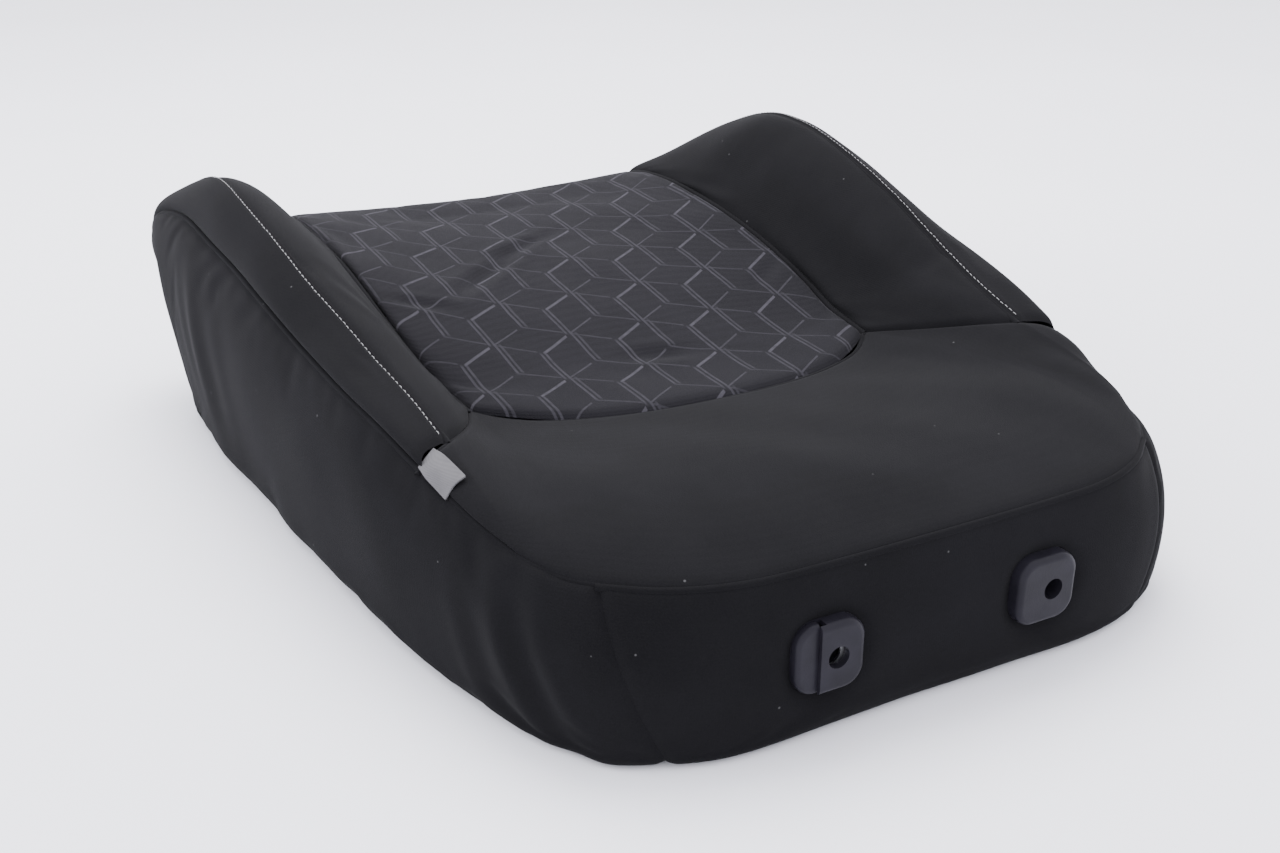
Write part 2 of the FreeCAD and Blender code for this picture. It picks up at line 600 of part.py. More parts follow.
def bracket():
    top = (PIVOT_Y + BRACKET_REACH, PIVOT_Z + BOLT_SPACING / 2)
    low = (PIVOT_Y + BRACKET_REACH, PIVOT_Z - BOLT_SPACING / 2)
    x0, x1 = BRACKET_X, BRACKET_X + BRACKET_SHEET
    lobes = [rod((x0, y, z), (x1, y, z), BRACKET_EDGE) for y, z in (top, low)]
    boss = rod((x0, PIVOT_Y, PIVOT_Z), (x1, PIVOT_Y, PIVOT_Z), DISC_R - 6)
    arm_z = BOLT_SPACING / 2 + BRACKET_EDGE
    root_y = PIVOT_Y + 8
    arm = polygon_yz([(root_y, PIVOT_Z - 27), (low[0], PIVOT_Z - arm_z), (low[0] + BRACKET_EDGE, low[1]),
                      (top[0] + BRACKET_EDGE, top[1]), (top[0], PIVOT_Z + arm_z), (root_y, PIVOT_Z + 27)])
    plate = union([boss, yz_plate(arm, x0, x1)] + lobes)
    for y, z in (top, low):
        plate = plate.cut(rod((x0 - 1, y, z), (x1 + 1, y, z), BOLT_HOLE_R))
    return plate.cut(rod((x0 - 1, PIVOT_Y, PIVOT_Z), (x1 + 1, PIVOT_Y, PIVOT_Z), SHAFT_R + 2))


def make_recliners():
    ring_in = DISC_R + 0.4
    ring = tube((WEB_X, PIVOT_Y, PIVOT_Z), (BRACKET_X - 0.4, PIVOT_Y, PIVOT_Z),
                ring_in + RING_WALL, ring_in)
    pieces = {"recliner_base": disc(WEB_X, WEB_X + DISC_THICK, ring_in), "recliner_ring": ring,
              "recliner_gear": disc(GEAR_X, BRACKET_X, DISC_R), "recliner_bracket": bracket()}
    for name, shape in pieces.items():
        save(name + "_right", shape)
        save(name + "_left", mirrored(shape))
    reach = BRACKET_X + BRACKET_SHEET
    save("release_shaft", rod((-reach, PIVOT_Y, PIVOT_Z), (reach, PIVOT_Y, PIVOT_Z), SHAFT_R))
    x0 = -WEB_X + 12
    x1 = x0 + ARM_SHEET
    hub = rod((x0, PIVOT_Y, PIVOT_Z), (x1, PIVOT_Y, PIVOT_Z), 10)
    arm = box(x0, x1, PIVOT_Y - ARM_LENGTH, PIVOT_Y, PIVOT_Z - 5, PIVOT_Z + 5)
    arm = union([hub, arm]).cut(rod((x0 - 1, PIVOT_Y, PIVOT_Z), (x1 + 1, PIVOT_Y, PIVOT_Z), SHAFT_R))
    end = PIVOT_Y - ARM_LENGTH + 5
    save("release_arm", arm.cut(rod((x0 - 1, end, PIVOT_Z), (x1 + 1, end, PIVOT_Z), 2.2)))


# ---------------------------------------------------------------- side airbag, left only
def make_airbag():
    x1, x0 = -WEB_X, -WEB_X - AIRBAG_DEPTH
    y0, y1 = AIRBAG_Y
    z0, z1, t = MEMBER_BOTTOM_Z, MEMBER_TOP_Z, AIRBAG_WALL
    hollow = box(x0 - 1, x1 - t, y0 + t, y1 - t, z0 + t, z1 - t)
    save("airbag_housing", box(x0, x1, y0, y1, z0, z1).cut(hollow))
    x_mid = x1 - t - INFLATOR_R
    z_mid = z0 + t + INFLATOR_R
    save("airbag_inflator", rod((x_mid, y0 + t + 4, z_mid), (x_mid, y1 - t - 4, z_mid), INFLATOR_R))
    folded = box(x0, x1 - t, y0 + t + 1, y1 - t - 1, z_mid + INFLATOR_R + 0.3, z1 - t)
    save("airbag_cushion", folded)
    x_in = -WEB_X + SHEET
    nuts = []
    for y in (y0 + 25, y1 - 25):
        nuts.append(rod((x_in, y, WEB_MID_Z), (x_in + 5, y, WEB_MID_Z), 5.5))
    save("airbag_nuts", Part.makeCompound(nuts))


def main():
    os.makedirs("parts", exist_ok=True)
    make_cover(upholstered_form(0.0))
    make_foam()
    make_rear_panel()
    make_frame()
    make_suspension()
    make_sleeves()
    make_recliners()
    make_airbag()


main()
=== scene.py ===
"""Looks of a car front seat backrest that lies on its rear face.

Lengths in the shape tables are millimetres in the part's frame; meshes are built in metres.
Every table gives the occupant's right side (+X), and the left side mirrors it.
A panel is a grid of points: rows follow its seams, columns run from its first seam ("a") to
its last ("b"), and "start" and "end" name its first and last row.
"""
import bpy
import json
import math
import numpy as np
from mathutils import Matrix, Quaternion, Vector


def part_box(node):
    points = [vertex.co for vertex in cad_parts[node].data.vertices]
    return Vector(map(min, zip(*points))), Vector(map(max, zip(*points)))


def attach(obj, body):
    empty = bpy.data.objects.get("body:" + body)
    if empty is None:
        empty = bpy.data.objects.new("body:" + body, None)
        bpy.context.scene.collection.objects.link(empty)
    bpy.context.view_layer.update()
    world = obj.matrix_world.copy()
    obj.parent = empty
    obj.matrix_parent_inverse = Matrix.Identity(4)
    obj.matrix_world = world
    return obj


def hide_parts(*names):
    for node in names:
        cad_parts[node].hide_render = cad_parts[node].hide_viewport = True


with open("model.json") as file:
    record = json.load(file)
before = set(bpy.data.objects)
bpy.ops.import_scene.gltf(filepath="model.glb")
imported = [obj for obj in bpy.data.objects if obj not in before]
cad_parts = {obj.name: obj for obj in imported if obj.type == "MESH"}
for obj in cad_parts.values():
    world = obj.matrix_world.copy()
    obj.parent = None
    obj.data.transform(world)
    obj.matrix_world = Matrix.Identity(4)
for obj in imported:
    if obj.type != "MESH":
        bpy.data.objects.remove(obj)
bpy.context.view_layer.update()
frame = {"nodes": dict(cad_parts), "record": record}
MM = 0.001
UP = (0, 0, 1)
HEADWARD = (0, -1, 0)

# ---------------------------------------------------------------- sizes and seam lines
STITCH_PITCH = 4.8
STITCH_LENGTH = 3.4
STITCH_R = 0.30
STITCH_SIDES = 6           # of the thread's cross section
STITCH_RINGS = 7           # cross sections along one stitch
STITCH_INSET = 3.0         # of the stitches from the crest seam
STITCH_LIFT = 0.35         # of the stitches over the cloth
STITCH_TURN = 0.05         # spread of their direction, and of their place across the row
STITCH_STRAY = 0.12
PATTERN_COLUMN = 28.5      # spacing of the insert pattern's upright lines
PATTERN_RISE = 59.0        # half the pattern's repeat along the back
PATTERN_ORIGIN = (10.0, 14.5)
PATTERN_ARM = 0.67         # length of an upright pair, as a share of the rise
LINE_SOFT = 0.35           # blur of a line's edge, and of a line's end
END_SOFT = 2.0

# Crest seam between inner and outer bolster, from the head end over the tail
CREST = ((201, -159, 124), (204, -118, 133), (210, -76, 143), (216, -33, 155), (223, 13, 168),
         (228, 66, 182), (233, 126, 194), (234, 167, 198), (235, 205, 196), (236, 250, 184),
         (237, 292, 166), (237, 318, 147), (236, 335, 127), (235, 340, 106))
INSERT = ((150, -59, 94), (154, -13, 98), (158, 23, 106), (160, 61, 115), (161, 104, 124),
          (161, 156, 132), (162, 205, 136), (162, 250, 138), (162, 290, 136), (161, 316, 132),
          (160, 332, 125), (158, 341, 107))
# Side seam from the middle of the head end, round the corner and along to the tail
END_SEAM = ((0, -334, 99), (60, -333.5, 99), (112, -330, 98.5), (150, -317, 98), (179, -296, 97.5))
CORNER_SEAM = ((179, -296, 97.5), (192, -281, 98), (204, -255, 101), (212, -226, 106),
               (218, -200, 112), (224, -173, 117))
SIDE_SEAM = ((224, -173, 117), (232, -129, 127), (239, -82, 134), (245, -21, 142), (250, 39, 151),
             (254, 98, 159), (258, 149, 164), (261, 203, 168), (264, 238, 166), (267, 270, 160),
             (269, 297, 151), (269, 320, 139), (268, 334, 124), (265, 340, 105))
# Outline on the floor, in step with the side seam
END_FOOT = ((0, -337, 0), (54, -337, 0), (100, -337, 0), (132, -334, 0), (159, -326, 0))
CORNER_FOOT = ((159, -326, 0), (187, -307, 0), (208, -270, 0), (219, -236, 0), (228, -203, 0),
               (234, -168, 0))
CORNER_OUT = (0.68, -0.73, 0)   # way the cover faces at the upright corner seam
SIDE_FOOT = ((234, -168, 0), (241, -125, 0), (247, -78, 0), (253, -20, 0), (258, 40, 0),
             (263, 98, 0), (267, 149, 0), (268, 196, 0), (268, 230, 0), (267, 250, 5),
             (267, 259, 50), (267, 280, 78), (267, 306, 92), (264, 338, 101))
# Head panel's inner edge: bolster end, insert corner, then the insert's bowed head seam
HEAD_BOLSTER = ((224, -173, 117), (213, -168, 123), (201, -159, 124))
HEAD_FLANK = ((201, -159, 124), (184, -137, 118), (167, -103, 107), (150, -59, 94))
HEAD_BOW = ((150, -59, 94), (138, -73, 93), (122, -86, 92.5), (100, -97, 92.5), (70, -107, 93),
            (35, -112, 93), (0, -113, 93))
# Tail flap from the floor up, along the back and up; then the hem from right to middle
TAIL_EDGE = ((252, 0.8), (254, 30), (259, 56), (274, 76), (300, 91), (339, 105), (337, 112))
TAIL_UNDER = ((0, 232, 1.0), (0, 246, 1.0))
TAIL_HEM = ((265, 339, 104), (250, 340.5, 108.5), (235, 340, 106), (196, 340.5, 109.5),
            (158, 341, 107), (80, 341, 107), (0, 341, 107))
PIVOT = (228, 56)          # recline axis, along the back and up
BRACKET_REACH = 85         # free radius round it
SLOT_X = (207, 240)        # openings in the tail flap for the recliner brackets
FLAP_HALF = 266

# Puckers in the cloth: start and end (X and Y, or Y and Z on a side), depth, width
INSERT_CREASES = (((-98, 93), (-7, 180), 3.2, 7.0), ((-60, 150), (30, 196), 1.6, 6.0),
                  ((-25, -30), (22, -38), 2.2, 8.0), ((-150, 95), (-112, 72), 1.6, 6.0),
                  ((150, 60), (118, 30), 1.4, 6.0))
FLANK_CREASES = {1: (((212, -60), (186, -70), 1.2, 8.0),), -1: (((205, 40), (170, -5), 1.4, 9.0),)}
HEAD_CREASES = (((192, -172), (208, -236), 1.8, 9.0), ((150, -90), (178, -170), -1.2, 14.0))
SIDE_CREASES = {1: (((-262, 88), (-250, 20), 2.0, 9.0),),
                -1: (((-262, 88), (-296, 4), 3.0, 7.0), ((-232, 74), (-258, 10), 1.6, 9.0),
                     ((150, 130), (120, 30), 1.4, 14.0), ((190, 135), (170, 50), 1.0, 10.0))}
# Cloth simulation of each panel: pressure, cap on a point's move, share of extra cloth
SWELL = {"insert": (1.2, 2.0, 0.002), "inner": (1.5, 3.0, 0.0), "outer": (1.5, 2.0, 0.0),
         "head": (1.0, 2.0, 0.004), "end": (1.0, 1.5, 0.0), "side": (1.0, 2.5, 0.004)}
# Unevenness of each panel: size and height of its waves, and their phase
WAVES = {"insert": (46.0, 0.55, 1.3), "inner": (38.0, 0.6, 2.2), "outer": (42.0, 0.5, 3.1),
         "head": (60.0, 0.9, 0.7), "end": (50.0, 0.6, 5.2), "side": (55.0, 1.0, 7.7)}
# Ways a bolster panel leaves its first seam and arrives at its second
INNER_SLOPES = ((0.85, 0, 0.50), (1.05, 0, 0.15))
OUTER_SLOPES = ((1.25, 0, 0.0), (0.15, 0, -1.2))
INNER_FACING = (-1, 0, 1)  # ways the panels' cloth faces, on the right side
OUTER_FACING = (1, 0, 1)
SIDE_FACING = (1, -0.2, 0)
# Label's corners: two on the head panel, then two at the side seam
LABEL_CORNERS = ((-211, -163, 123), (-206, -199, 117), (-218, -200, 110), (-223, -171, 117))

SIM_FRAMES = 14            # steps of each cloth simulation
FLOOR_CLEAR = 0.5
SKIRT_R = 7.0              # rounding of the cover's foot
SKIRT_UNDER = 27.0         # cover turned under, seen from below
SKIRT_Z = 1.0
SEAM_DEPTH = 2.7           # of the furrow at a seam, and how far it reaches into the panel
SEAM_WIDTH = 2.9
CREST_DEPTH = 1.5          # furrow at the crest seam
INSERT_BOW = 54.0          # of the insert's head seam towards the head end
SLEEVE_FLAT_R = 19.0       # cloth held flat round each guide sleeve, then easing off
SLEEVE_EASE = 8.0
END_FACE_Y = -334.8
TAPE_R = 2.4               # of the seam tapes, of the insert's wider ones and of the flap's hem
INSERT_TAPE_R = 3.3
HEM_R = 2.0
TAPE_STOP = 5.0            # seam tapes end this far before the tail hem
LABEL_THICK = 0.0009       # metres
LABEL_LIFT = 1.1           # of the label over the head panel, and how much more headward
LABEL_CURL = 1.2

FLOOR_HALF = 6.0           # metres, as are the places of the lamps and the camera
WORLD_STRENGTH = 2.9
LENS = 39.3
SENSOR_WIDTH = 36.0
CAMERA_AT = (-0.430, -0.819, 0.434)
CAMERA_TURN = (27.7, 23.7, 0.43)    # heading from +Y, pitch down and roll, in degrees


# ---------------------------------------------------------------- curves and patches
def smooth(points, count):
    """A smooth curve through the points, as evenly spaced samples."""
    return resample(smooth_by_knot(points, 60 * len(points)), count)


def resample(line, count):
    """The same line, as evenly spaced samples."""
    length = np.concatenate([[0], np.cumsum(np.linalg.norm(np.diff(line, axis=0), axis=1))])
    want = np.linspace(0, length[-1], count)
    return np.stack([np.interp(want, length, line[:, k]) for k in range(3)], axis=1)


def paired(points_a, points_b, count):
    """Two smooth curves whose samples stay level with each other's points."""
    return smooth_by_knot(points_a, count), smooth_by_knot(points_b, count)


def smooth_by_knot(points, count):
    """A smooth curve through the points, with as many samples between each two."""
    p = np.array(points, float)
    n = len(p)
    slope = np.zeros_like(p)
    slope[1:-1] = (p[2:] - p[:-2]) / 2
    slope[0], slope[-1] = p[1] - p[0], p[-1] - p[-2]
    where = np.linspace(0, n - 1, count)
    i = np.minimum(where.astype(int), n - 2)
    u = (where - i)[:, None]
    return ((1 + 2 * u) * (1 - u) ** 2 * p[i] + u * (1 - u) ** 2 * slope[i]
            + u * u * (3 - 2 * u) * p[i + 1] + u * u * (u - 1) * slope[i + 1])


def mirrored(points):
    """The same points on the occupant's left."""
    return np.array(points, float) * (-1, 1, 1)


def right_to_left(half):
    """A line from the right side to the middle, carried on to the left side."""
    return np.vstack([half, mirrored(half)[-2::-1]])


def left_to_right(half):
    """A line from the middle to the right side, begun on the left side."""
    return np.vstack([mirrored(half)[::-1], half[1:]])


def joined(parts):
    """Lines that start where the one before ends, as one line."""
    return np.vstack([parts[0]] + [part[1:] for part in parts[1:]])


def across(count):
    """Stations from 0 to 1 that crowd towards both seams."""
    u = np.linspace(0, 1, count)
    return 0.35 * u + 0.65 * (0.5 - 0.5 * np.cos(math.pi * u))


def arch(rail_a, rail_b, leave, arrive, count):
    """Surface between two rails that leaves the first and arrives at the second as told.

    Both directions are in shares of the distance between the rails.
    """
    s = across(count)[None, :, None]
    size = np.linalg.norm(rail_b - rail_a, axis=1, keepdims=True)
    start = (leave * size)[:, None, :]
    end = (arrive * size)[:, None, :]
    a, b = rail_a[:, None, :], rail_b[:, None, :]
    return ((1 + 2 * s) * (1 - s) ** 2 * a + s * (1 - s) ** 2 * start
            + s * s * (3 - 2 * s) * b + s * s * (s - 1) * end)


def grid_normals(grid):
    """Unit normals, along the rows' direction crossed with the columns'."""
    along = np.gradient(grid, axis=0)
    cross = np.gradient(grid, axis=1)
    normal = np.cross(along, cross)
    size = np.linalg.norm(normal, axis=2, keepdims=True)
    return normal / np.maximum(size, 1e-9)


def outward(grid, towards):
    """Unit normals that point to the same side as the given direction."""
    normal = grid_normals(grid)
    if (normal * towards).sum() < 0:
        normal = -normal
    return normal


def run_length(grid, axis):
    """Distance of each grid point from the first row or column, along the surface."""
    step = np.linalg.norm(np.diff(grid, axis=axis), axis=2)
    pad = ((1, 0), (0, 0)) if axis == 0 else ((0, 0), (1, 0))
    return np.cumsum(np.pad(step, pad), axis=axis)


def sink_seams(grid, normal, edges):
    """Draws the listed edges down into seams; edges maps a side to its depth."""
    over = run_length(grid, 1)
    along = run_length(grid, 0)
    gap = {"a": over, "b": over[:, -1:] - over, "start": along, "end": along[-1:, :] - along}
    drop = np.zeros(grid.shape[:2])
    for side, depth in edges.items():
        drop = np.maximum(drop, depth * np.exp(-(gap[side] / SEAM_WIDTH) ** 1.3))
    return grid - normal * drop[:, :, None]


def ripple(grid, normal, panel_kind, side=0):
    """Broad unevenness of cloth over foam, fading to nothing at the edges."""
    size, height, phase = WAVES[panel_kind]
    seed = phase + side
    x, y, z = (grid[:, :, k] / size for k in range(3))
    wave = (np.sin(1.7 * x + 0.9 * y + seed) * np.sin(1.3 * y - 0.7 * z + 2.1 * seed)
            + 0.6 * np.sin(3.1 * y + 1.9 * x + 4 * seed) * np.sin(2.3 * x - 1.7 * z - seed))
    over = run_length(grid, 1)
    along = run_length(grid, 0)
    edge = np.minimum(np.minimum(over, over[:, -1:] - over),
                      np.minimum(along, along[-1:] - along))
    fade = 1 - np.exp(-edge / 18.0)
    return grid + normal * (height * wave * fade)[:, :, None]


def crease(grid, normal, axes, start, end, depth, width):
    """A pucker: a furrow from start to end, seen along the axis left out, with soft rolls."""
    flat = grid[:, :, list(axes)]
    a, b = np.array(start, float), np.array(end, float)
    d = b - a
    t = np.clip(((flat - a) @ d) / (d @ d), 0, 1)
    off = np.linalg.norm(flat - a - t[:, :, None] * d, axis=2) / width
    shape = -np.exp(-off ** 2) + 0.45 * np.exp(-((off - 1.9) / 0.8) ** 2)
    shape *= np.sin(math.pi * np.clip(t, 0.04, 0.96)) ** 0.6
    return grid + normal * (depth * shape)[:, :, None]


def grid_faces(rows, cols, rising):
    """Four-sided faces of a grid, on the side of its normals if rising, or else on the other."""
    faces = []
    for i in range(rows - 1):
        for j in range(cols - 1):
            k = i * cols + j
            if rising:
                faces.append((k, k + cols, k + cols + 1, k + 1))
            else:
                faces.append((k + cols, k, k + 1, k + cols + 1))
    return faces


def new_mesh(name, points, faces):
    """Smooth-shaded mesh from points in millimetres."""
    mesh = bpy.data.meshes.new(name)
    mesh.from_pydata((points * MM).tolist(), [], faces)
    mesh.polygons.foreach_set("use_smooth", [True] * len(mesh.polygons))
    return mesh


def grid_mesh(name, grid, towards):
    """Mesh of a panel, with its faces turned towards a direction."""
    rows, cols = grid.shape[:2]
    rising = (grid_normals(grid) * towards).sum() > 0
    return new_mesh(name, grid.reshape(-1, 3), grid_faces(rows, cols, rising))


def new_object(name, data):
    """An object in the scene's own collection."""
    item = bpy.data.objects.new(name, data)
    bpy.context.scene.collection.objects.link(item)
    return item


def cover_piece(name, data, material):
    """A visible piece that rides on the backrest."""
    data.materials.append(material)
    piece = new_object(name, data)
    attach(piece, "backrest")
    return piece


def inflate(grid, towards, panel_kind):
    """Cloth simulation of one panel: sewn fast at its edges, pressed out by the foam.

    No point moves further than the cap, in millimetres. Slack is the share of extra cloth.
    """
    pressure, cap, slack = SWELL[panel_kind]
    rows, cols = grid.shape[:2]
    mesh = grid_mesh("panel", grid, towards)
    panel = new_object("panel", mesh)
    scene = bpy.context.scene
    index = np.arange(rows * cols).reshape(rows, cols)
    sewn = panel.vertex_groups.new(name="sewn")
    rim = np.concatenate([index[0], index[-1], index[:, 0], index[:, -1]])
    sewn.add([int(k) for k in set(rim.tolist())], 1.0, "REPLACE")
    cloth = panel.modifiers.new("cloth", "CLOTH")
    setting = cloth.settings
    setting.quality = 5
    setting.mass = 0.25
    setting.tension_stiffness = 18
    setting.compression_stiffness = 12
    setting.shear_stiffness = 6
    setting.bending_stiffness = 0.6
    setting.vertex_group_mass = "sewn"
    setting.use_pressure = True
    setting.uniform_pressure_force = pressure
    setting.shrink_min = -slack
    setting.effector_weights.gravity = 0
    cloth.collision_settings.use_collision = False
    cloth.point_cache.frame_start = 1
    cloth.point_cache.frame_end = SIM_FRAMES
    for number in range(1, SIM_FRAMES + 1):
        scene.frame_set(number)
    shaped = panel.evaluated_get(bpy.context.evaluated_depsgraph_get())
    flat = np.zeros(rows * cols * 3)
    shaped.data.vertices.foreach_get("co", flat)
    bpy.data.objects.remove(panel)
    bpy.data.meshes.remove(mesh)
    scene.frame_set(1)
    move = flat.reshape(rows, cols, 3) / MM - grid
    size = np.linalg.norm(move, axis=2, keepdims=True)
    return grid + move * np.tanh(size / cap) * cap / np.maximum(size, 1e-6)


def grid_piece(name, grid, towards, slot_name):
    """A finished panel on the backrest, made of a grid of millimetre points."""
    piece = cover_piece(name, grid_mesh(name, grid, towards), MATERIALS[slot_name])
    finer = piece.modifiers.new("subdivision", "SUBSURF")
    finer.levels = 1
    finer.render_levels = 1
    return piece


# ---------------------------------------------------------------- node helpers
class Nodes:
    """Short calls for building a material's node tree."""

    def __init__(self, name):
        self.material = bpy.data.materials.new(name)
        self.material.use_nodes = True
        self.tree = self.material.node_tree
        self.shader = self.tree.nodes["Principled BSDF"]

    def add(self, kind, **values):
        node = self.tree.nodes.new(kind)
        for key, value in values.items():
            setattr(node, key, value)
        return node

    def link(self, out, into):
        self.tree.links.new(out, into)

    def math(self, operation, a, b=None, c=None, clamp=False):
        node = self.add("ShaderNodeMath", operation=operation, use_clamp=clamp)
        for socket, value in zip(node.inputs, (a, b, c)):
            if value is None:
                continue
            if isinstance(value, (int, float)):
                socket.default_value = value
            else:
                self.link(value, socket)
        return node.outputs[0]

    def place(self):
        return self.add("ShaderNodeTexCoord").outputs["Object"]

    def noise(self, vector, scale, detail, rough=0.5):
        node = self.add("ShaderNodeTexNoise")
        node.inputs["Scale"].default_value = scale
        node.inputs["Detail"].default_value = detail
        node.inputs["Roughness"].default_value = rough
        self.link(vector, node.inputs["Vector"])
        return node.outputs["Fac"]

    def ramp(self, value, low, high, out_low=0.0, out_high=1.0):
        node = self.add("ShaderNodeMapRange")
        node.clamp = True
        self.link(value, node.inputs["Value"])
        for key, number in (("From Min", low), ("From Max", high), ("To Min", out_low),
                            ("To Max", out_high)):
            node.inputs[key].default_value = number
        return node.outputs["Result"]

    def mix(self, factor, colour_a, colour_b):
        node = self.add("ShaderNodeMix", data_type="RGBA")
        self.link(factor, node.inputs["Factor"])
        for socket, value in ((node.inputs[6], colour_a), (node.inputs[7], colour_b)):
            if isinstance(value, tuple):
                socket.default_value = (*value, 1)
            else:
                self.link(value, socket)
        return node.outputs[2]

    def bump(self, height, strength, distance):
        node = self.add("ShaderNodeBump")
        node.inputs["Strength"].default_value = strength
        node.inputs["Distance"].default_value = distance
        self.link(height, node.inputs["Height"])
        self.link(node.outputs["Normal"], self.shader.inputs["Normal"])

    def set(self, **values):
        for key, value in values.items():
            self.shader.inputs[key.replace("_", " ")].default_value = value

    def knit(self, vector, pitch):
        """Height of a fine jersey knit: crossed ribs of the given pitch in metres."""
        split = self.add("ShaderNodeSeparateXYZ")
        self.link(vector, split.inputs[0])
        turn = 2 * math.pi / pitch
        waves = []
        for axis, share in (("X", 1.0), ("Y", 0.8), ("Z", 0.9)):
            waves.append(self.math("SINE", self.math("MULTIPLY", split.outputs[axis], turn * share)))
        level = self.math("ADD", self.math("MULTIPLY", waves[0], waves[1]), waves[2])
        return self.math("MULTIPLY_ADD", level, 0.25, 0.5)


def cloth_material(name, dark, light, pitch=0.0011, sheen=0.02, lint=0.0):
    """Short-napped knit: fine ribs, mottled dye, a soft sheen and a little lint."""
    n = Nodes(name)
    place = n.place()
    mottle = n.ramp(n.noise(place, 9.0, 4.0, 0.6), 0.32, 0.68)
    fibre = n.ramp(n.noise(place, 1400.0, 2.0), 0.3, 0.7)
    weave = n.knit(place, pitch)
    tone = n.math("ADD", n.math("MULTIPLY", mottle, 0.5), n.math("MULTIPLY", fibre, 0.4))
    tone = n.math("ADD", tone, n.math("MULTIPLY", weave, 0.1), clamp=True)
    colour = n.mix(tone, dark, light)
    if lint:
        cell = n.add("ShaderNodeTexVoronoi")
        cell.inputs["Scale"].default_value = 42.0
        n.link(place, cell.inputs["Vector"])
        speck = n.ramp(cell.outputs["Distance"], 0.020, 0.034, lint, 0.0)
        colour = n.mix(speck, colour, (0.30, 0.30, 0.30))
    n.link(colour, n.shader.inputs["Base Color"])
    n.set(Roughness=0.95, Sheen_Weight=sheen, Sheen_Roughness=0.35, Specular_IOR_Level=0.06)
    height = n.math("ADD", n.math("MULTIPLY", weave, 0.4), n.math("MULTIPLY", fibre, 0.6))
    n.bump(height, 0.4, 0.0003)
    return n.material


def line_mask(n, offset, half):
    """1 on a line where offset is 0, falling to 0 past its half width."""
    return n.ramp(n.math("ABSOLUTE", offset), half, half + LINE_SOFT, 1.0, 0.0)


def between(n, value, low, high):
    """1 where the value lies between the two limits, falling softly to 0 outside."""
    rise = n.ramp(value, low - END_SOFT, low + END_SOFT)
    fall = n.ramp(value, high - END_SOFT, high + END_SOFT, 1.0, 0.0)
    return n.math("MULTIPLY", rise, fall)


def pattern_mask(n, place):
    """Rows of rhombs drawn as paired uprights and slanting strokes, in millimetres."""
    split = n.add("ShaderNodeSeparateXYZ")
    n.link(place, split.inputs[0])
    wobble = n.ramp(n.noise(place, 30.0, 1.0), 0.0, 1.0, -0.8, 0.8)
    x = n.math("ADD", n.math("MULTIPLY_ADD", split.outputs["X"], 1000.0, -PATTERN_ORIGIN[0]), wobble)
    y = n.math("ADD", n.math("MULTIPLY_ADD", split.outputs["Y"], 1000.0, -PATTERN_ORIGIN[1]), wobble)
    column = n.math("FLOOR", n.math("DIVIDE", n.math("ADD", x, 4.0), PATTERN_COLUMN))
    u = n.math("SUBTRACT", x, n.math("MULTIPLY", column, PATTERN_COLUMN))
    shifted = n.math("SUBTRACT", y, n.math("MULTIPLY", column, PATTERN_RISE))
    v = n.math("WRAP", shifted, PATTERN_RISE, -PATTERN_RISE)
    arm = PATTERN_RISE * PATTERN_ARM
    slope = (PATTERN_RISE - arm) / PATTERN_COLUMN
    rise = n.math("MULTIPLY", u, slope)
    upper = between(n, v, 0.0, arm)
    lower = between(n, v, -arm, 0.0)
    ends = n.math("ADD", upper, lower, clamp=True)
    # Each stroke: offset from its line, half width, where it shows, strength
    strokes = [(n.math("ADD", u, 2.6), 0.7, upper, 0.55),
               (n.math("SUBTRACT", u, 0.8), 0.7, ends, 0.6),
               (n.math("SUBTRACT", u, 4.2), 0.7, lower, 0.45)]
    full = n.ramp(u, -1.0, 0.5)
    strokes += [(n.math("SUBTRACT", n.math("SUBTRACT", v, arm), rise), 1.3, full, 1.0),
                (n.math("SUBTRACT", v, rise), 0.75, full, 0.6),
                (n.math("ADD", v, rise), 0.9, full, 0.36),
                (n.math("ADD", n.math("ADD", v, arm), rise), 0.9, full, 0.36)]
    total = None
    for offset, half, where, strength in strokes:
        line = n.math("MULTIPLY", n.math("MULTIPLY", line_mask(n, offset, half), where), strength)
        total = line if total is None else n.math("MAXIMUM", total, line)
    return total


def insert_material():
    """Patterned knit of the middle panel."""
    n = Nodes("insert_cloth")
    place = n.place()
    fibre = n.ramp(n.noise(place, 1300.0, 2.0), 0.3, 0.7)
    mottle = n.ramp(n.noise(place, 14.0, 4.0), 0.3, 0.7)
    weave = n.knit(place, 0.0013)
    tone = n.math("ADD", n.math("MULTIPLY", fibre, 0.45), n.math("MULTIPLY", mottle, 0.3))
    tone = n.math("ADD", tone, n.math("MULTIPLY", weave, 0.3), clamp=True)
    base = n.mix(tone, (0.0050, 0.0047, 0.0060), (0.0095, 0.0090, 0.0112))
    mask = pattern_mask(n, place)
    worn = n.math("MULTIPLY", mask, n.ramp(n.noise(place, 160.0, 3.0), 0.25, 0.6, 0.55, 1.0))
    n.link(n.mix(worn, base, (0.036, 0.034, 0.041)), n.shader.inputs["Base Color"])
    n.set(Roughness=0.9, Sheen_Weight=0.02, Sheen_Roughness=0.4, Specular_IOR_Level=0.08)
    height = n.math("ADD", n.math("MULTIPLY", weave, 0.6), n.math("MULTIPLY", fibre, 0.5))
    n.bump(n.math("ADD", height, n.math("MULTIPLY", mask, 1.2)), 0.5, 0.0005)
    return n.material


